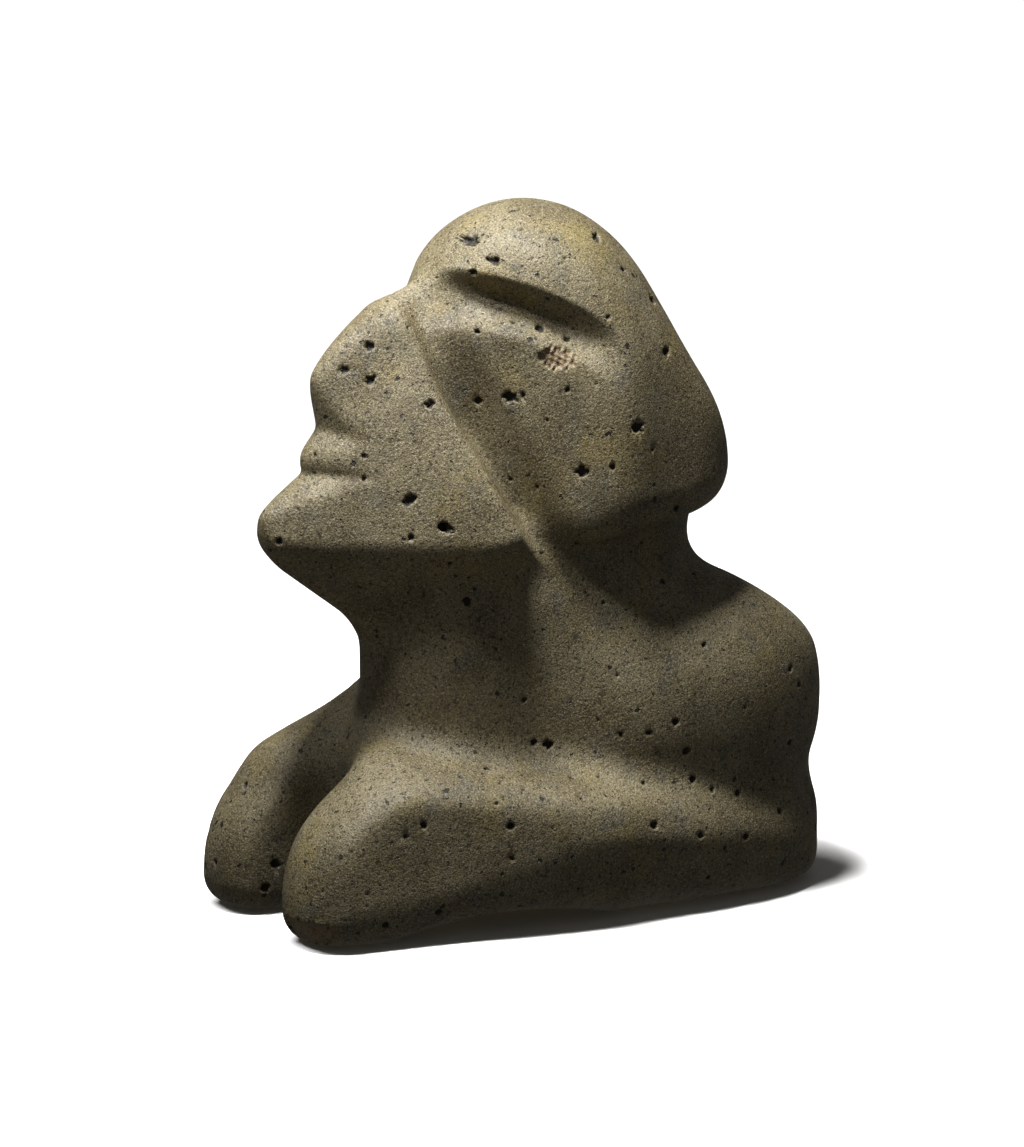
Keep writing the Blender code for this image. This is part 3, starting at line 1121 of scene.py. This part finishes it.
@dataclass
class Studio:
    """A pale floor, a softbox close overhead, a lamp on the head, a light on the paper and the camera."""

    view: View
    sensor_mm: float = 36.0
    floor_half: float = 6.0
    softbox: Softbox = Softbox("overhead softbox", 28.0, 75.0, 0.54, (0.12, 0.12), 4.3)
    aim: Triple = (0.0, 0.0, 0.11)
    snoot_azimuth: float = 4.0
    snoot_elevation: float = 56.0
    snoot_away: float = 0.6
    snoot_cone: float = 15.0
    snoot_radius: float = 0.05
    snoot_watts: float = 9.5
    snoot_aim: Triple = (0.012, -0.03, 0.14)
    paper_azimuth: float = -42.0
    paper_elevation: float = 64.0
    paper_strength: float = 3.9
    paper_spread: float = 30.0
    surround: float = 0.07

    def placed(self, data: bpy.types.ID, towards: Vector, back: Vector, away: float) -> bpy.types.Object:
        """Puts a light or a camera in the scene, looking at a point.

        Args:
            data: the light's or the camera's data.
            towards: the point it looks at.
            back: the direction from that point back to it.
            away: its distance from the point, in metres.

        Returns:
            The new object.
        """
        obj = bpy.data.objects.new(data.name, data)
        bpy.context.scene.collection.objects.link(obj)
        obj.location = towards + back * away
        obj.rotation_mode = "QUATERNION"
        obj.rotation_quaternion = (-back).to_track_quat("-Z", "Y")
        return obj

    def camera(self) -> bpy.types.Object:
        """Places the camera at the photograph's angle.

        Returns:
            The camera.
        """
        data = bpy.data.cameras.new("camera")
        data.sensor_width = self.sensor_mm
        data.lens = self.view.lens_px * self.sensor_mm / max(self.view.image_px)
        data.clip_start, data.clip_end = 0.05, 50.0
        back = way(self.view.azimuth, self.view.elevation)
        obj = self.placed(data, in_metres(self.view.target), back, self.view.distance * SHARE)
        bpy.context.scene.camera = obj
        return obj

    def soft_light(self) -> bpy.types.Object:
        """Hangs the softbox.

        Returns:
            The light.
        """
        box = self.softbox
        data = bpy.data.lights.new(box.name, "AREA")
        data.shape = "RECTANGLE"
        data.size, data.size_y = box.size
        data.energy = box.watts
        return self.placed(data, Vector(self.aim), way(box.azimuth, box.elevation), box.away)

    def head_light(self) -> bpy.types.Object:
        """A snooted lamp in front, whose soft cone falls on the head alone.

        Returns:
            The light.
        """
        data = bpy.data.lights.new("head snoot", "SPOT")
        data.spot_size = math.radians(self.snoot_cone)
        data.spot_blend = 1.0
        data.shadow_soft_size = self.snoot_radius
        data.energy = self.snoot_watts
        back = way(self.snoot_azimuth, self.snoot_elevation)
        return self.placed(data, Vector(self.snoot_aim), back, self.snoot_away)

    def paper_light(self, floor: bpy.types.Object) -> bpy.types.Object:
        """A broad light that falls on the paper alone, so that it stays white round a soft shadow.

        Args:
            floor: the paper.

        Returns:
            The light.
        """
        data = bpy.data.lights.new("paper light", "SUN")
        data.energy = self.paper_strength
        data.angle = math.radians(self.paper_spread)
        obj = self.placed(data, Vector(self.aim), way(self.paper_azimuth, self.paper_elevation), 1.5)
        lit = bpy.data.collections.new("lit by the paper light")
        lit.objects.link(floor)
        obj.light_linking.receiver_collection = lit
        return obj

    def floor(self) -> bpy.types.Object:
        """A plain sheet of white paper.

        Returns:
            The floor.
        """
        mesh = bpy.data.meshes.new("floor")
        half = self.floor_half
        corners = [(-half, -half, 0), (half, -half, 0), (half, half, 0), (-half, half, 0)]
        mesh.from_pydata(corners, [], [(0, 1, 2, 3)])
        obj = bpy.data.objects.new("floor", mesh)
        bpy.context.scene.collection.objects.link(obj)
        material = bpy.data.materials.new("matt white paper")
        material.use_nodes = True
        shader = material.node_tree.nodes["Principled BSDF"]
        shader.inputs["Base Color"].default_value = linear("#fbfbfa")
        shader.inputs["Roughness"].default_value = 0.9
        mesh.materials.append(material)
        obj.visible_diffuse = obj.visible_glossy = False
        return obj

    def world(self) -> None:
        """A white surround that sheds little light of its own."""
        world = bpy.data.worlds.new("surround")
        world.use_nodes = True
        tree = world.node_tree
        seen = add_node(tree, "ShaderNodeLightPath")
        inputs = {"Value": seen.outputs["Is Camera Ray"], "To Min": self.surround, "To Max": 1.0}
        strength = add_node(tree, "ShaderNodeMapRange", {}, inputs)
        tree.links.new(strength.outputs[0], tree.nodes["Background"].inputs["Strength"])
        tree.nodes["Background"].inputs["Color"].default_value = linear("#ffffff")
        bpy.context.scene.world = world

    def build(self) -> None:
        """Sets up the floor, the lights and the camera."""
        bpy.context.scene.view_settings.view_transform = "Standard"
        self.paper_light(self.floor())
        self.world()
        self.soft_light()
        self.head_light()
        self.camera()
        LOG.info("studio ready")


def main() -> None:
    """Builds the stone and the studio around it."""
    logging.basicConfig(level=logging.INFO, format="%(name)s: %(message)s")
    for obj in list(bpy.data.objects):
        bpy.data.objects.remove(obj, do_unlink=True)
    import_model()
    carving, view = Carving(), View()
    Studio(view).build()
    stone = StoneSkin(carving, view, AndesiteFinish().build(carving, view)).build()
    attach(stone, "root")
    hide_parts("seated_figure")


if __name__ == "__main__":
    main()
